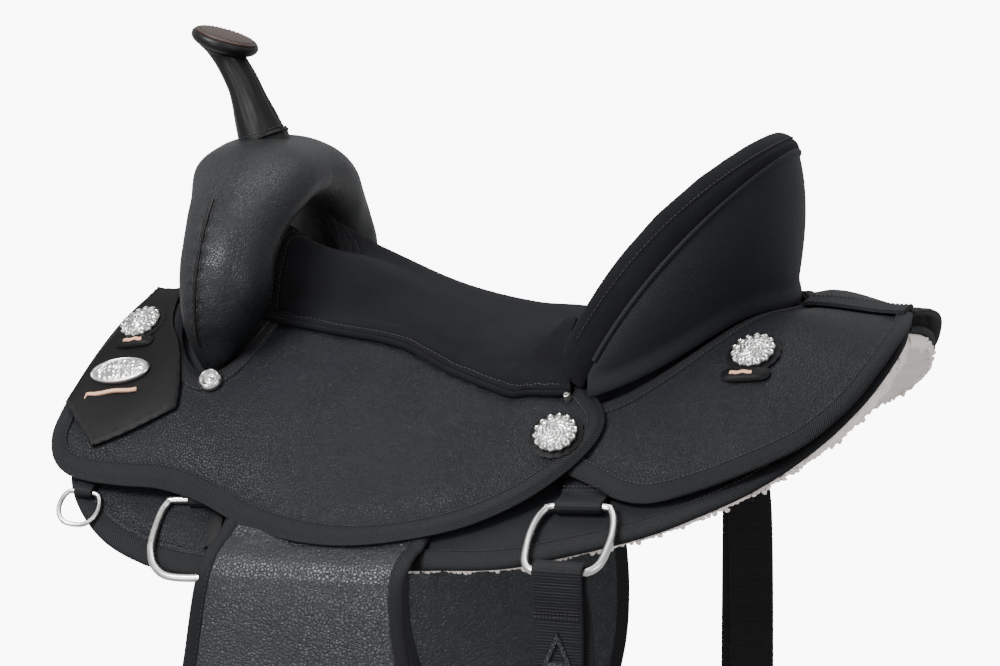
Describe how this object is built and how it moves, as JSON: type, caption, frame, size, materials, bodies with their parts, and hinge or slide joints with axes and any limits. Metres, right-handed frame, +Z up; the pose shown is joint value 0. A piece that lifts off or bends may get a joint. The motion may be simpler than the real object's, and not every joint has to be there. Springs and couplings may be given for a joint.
{
  "type": "western saddle",
  "caption": "Western barrel-racing saddle with a horn, padded swell, suede seat, high cantle, layered skirts, fleece lining, rigging rings, fenders and hung stirrups.",
  "frame": {"origin": "on the spine line, at the lowest point of the fleece's underside along that line, which is where the saddle rests on a rack or a back", "axes": "+Z up; +X rearwards, from the horn towards the cantle; +Y to the horse's right side, so the near side is -Y"},
  "size_m": [0.6348, 0.5934, 1.0005],
  "materials": {
    "pebbled_leather": "pebble-grained, semi-gloss",
    "smooth_leather": "smooth, waxed",
    "brown_leather": "smooth, polished",
    "suede": "napped, matte",
    "cordura": "close twill weave, matte",
    "webbing": "ribbed nylon webbing",
    "fleece": "napped pile, matte",
    "stainless_steel": "polished",
    "engraved_silver": "engraved and polished",
    "tree": "fibreglass over wood, unpainted",
    "horn_iron": "as cast",
    "moulded_black": "fine texture"
  },
  "bodies": {
    "saddle": {"fork": "tree", "swell_cover": "pebbled_leather", "horn_iron": "horn_iron", "horn_wrap": "smooth_leather", "horn_cap": "smooth_leather", "horn_cap_leather": "brown_leather", "cantle_back": "cordura", "cantle_core": "tree", "cantle_roll": "suede", "seat_cover": "suede", "ground_seat": "tree", "rear_connector": "smooth_leather", "tree_bar_left": "tree", "tree_bar_right": "tree", "skirt_left": "cordura", "skirt_right": "cordura", "fleece_left": "fleece", "fleece_right": "fleece", "rear_jockey_left": "pebbled_leather", "rear_jockey_right": "pebbled_leather", "seat_jockey_left": "pebbled_leather", "seat_jockey_right": "pebbled_leather", "concho_plate_left": "smooth_leather", "concho_plate_right": "smooth_leather", "front_concho_left": "engraved_silver", "front_concho_right": "engraved_silver", "oval_concho_left": "engraved_silver", "oval_concho_right": "engraved_silver", "middle_concho_left": "engraved_silver", "middle_concho_right": "engraved_silver", "rear_concho_left": "engraved_silver", "rear_concho_right": "engraved_silver", "swell_button_left": "engraved_silver", "swell_button_right": "engraved_silver", "stirrup_leather_left": "smooth_leather", "stirrup_leather_right": "smooth_leather", "front_dee_left": "stainless_steel", "front_dee_right": "stainless_steel", "front_dee_tab_left": "webbing", "front_dee_tab_right": "webbing", "breast_dee_tab_left": "webbing", "breast_dee_tab_right": "webbing", "flank_dee_tab_left": "webbing", "flank_dee_tab_right": "webbing"},
    "fender_left": {"fender_left": "pebbled_leather"},
    "stirrup_left": {"stirrup_left": "moulded_black", "stirrup_bolt_left": "stainless_steel"},
    "breast_dee_left": {"breast_dee_left": "stainless_steel"},
    "flank_dee_left": {"flank_dee_left": "stainless_steel"},
    "flank_billet_left": {"flank_billet_left": "webbing"},
    "fender_right": {"fender_right": "pebbled_leather"},
    "stirrup_right": {"stirrup_right": "moulded_black", "stirrup_bolt_right": "stainless_steel"},
    "breast_dee_right": {"breast_dee_right": "stainless_steel"},
    "flank_dee_right": {"flank_dee_right": "stainless_steel"},
    "flank_billet_right": {"flank_billet_right": "webbing"}
  },
  "joints": [
    {"name": "fender_left_flare", "type": "hinge", "parent": "saddle", "child": "fender_left", "pos_m": [-0.068, -0.236, -0.0983], "axis": [-0.9861, 0.1559, -0.0579], "range_deg": [0, 50]},
    {"name": "stirrup_left_turn", "type": "hinge", "parent": "fender_left", "child": "stirrup_left", "pos_m": [-0.0836, -0.25783, -0.5883], "axis": [-0.9877, 0.1562, 0], "range_deg": [-40, 40]},
    {"name": "breast_dee_left_lift", "type": "hinge", "parent": "saddle", "child": "breast_dee_left", "pos_m": [-0.28844, -0.19413, -0.07767], "axis": [-0.9926, -0.0831, 0.0881], "range_deg": [0, 45]},
    {"name": "flank_dee_left_lift", "type": "hinge", "parent": "saddle", "child": "flank_dee_left", "pos_m": [0.10964, -0.21431, -0.06145], "axis": [-0.9981, 0.0355, -0.0508], "range_deg": [0, 60]},
    {"name": "flank_billet_left_swing", "type": "hinge", "parent": "flank_dee_left", "child": "flank_billet_left", "pos_m": [0.10983, -0.26332, -0.09943], "axis": [-1, 0, 0], "range_deg": [-10, 60]},
    {"name": "fender_right_flare", "type": "hinge", "parent": "saddle", "child": "fender_right", "pos_m": [-0.068, 0.236, -0.0983], "axis": [0.9861, 0.1559, 0.0579], "range_deg": [0, 50]},
    {"name": "stirrup_right_turn", "type": "hinge", "parent": "fender_right", "child": "stirrup_right", "pos_m": [-0.0836, 0.25783, -0.5883], "axis": [0.9877, 0.1562, 0], "range_deg": [-40, 40]},
    {"name": "breast_dee_right_lift", "type": "hinge", "parent": "saddle", "child": "breast_dee_right", "pos_m": [-0.28844, 0.19413, -0.07767], "axis": [0.9926, -0.0831, -0.0881], "range_deg": [0, 45]},
    {"name": "flank_dee_right_lift", "type": "hinge", "parent": "saddle", "child": "flank_dee_right", "pos_m": [0.10964, 0.21431, -0.06145], "axis": [0.9981, 0.0355, 0.0508], "range_deg": [0, 60]},
    {"name": "flank_billet_right_swing", "type": "hinge", "parent": "flank_dee_right", "child": "flank_billet_right", "pos_m": [0.10983, 0.26332, -0.09943], "axis": [1, 0, 0], "range_deg": [-10, 60]}
  ]
}
